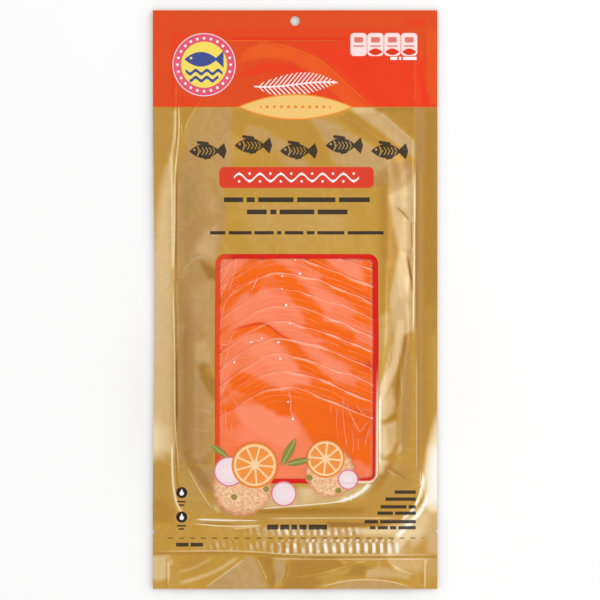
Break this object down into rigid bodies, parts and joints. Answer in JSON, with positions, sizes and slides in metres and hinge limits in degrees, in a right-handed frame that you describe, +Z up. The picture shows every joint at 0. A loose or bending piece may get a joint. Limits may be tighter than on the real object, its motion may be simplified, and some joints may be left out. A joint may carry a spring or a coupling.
{
  "type": "pack of smoked salmon",
  "caption": "Flat heat-sealed foil pouch with a hang hole, tear notches and a clear window, holding shingled slices of smoked salmon.",
  "frame": {"origin": "under the middle of the pouch, on the surface that its back rests on", "axes": "+X across the pouch, +Y along it towards the hang hole, +Z up out of the printed front"},
  "size_m": [0.178, 0.362, 0.0229],
  "materials": {
    "foil": "metallised film, satin gold with an orange-red printed header",
    "clear_film": "clear glossy film",
    "sticker": "semi-gloss printed label",
    "salmon": "moist cured fish, soft sheen"
  },
  "bodies": {
    "root": {"pouch": "foil", "window_film": "clear_film", "round_sticker": "sticker", "salmon_slice_01": "salmon", "salmon_slice_02": "salmon", "salmon_slice_03": "salmon", "salmon_slice_04": "salmon", "salmon_slice_05": "salmon", "salmon_slice_06": "salmon", "salmon_slice_07": "salmon", "salmon_slice_08": "salmon", "salmon_slice_09": "salmon", "salmon_slice_10": "salmon", "salmon_slice_11": "salmon", "salmon_slice_12": "salmon"}
  },
  "joints": []
}
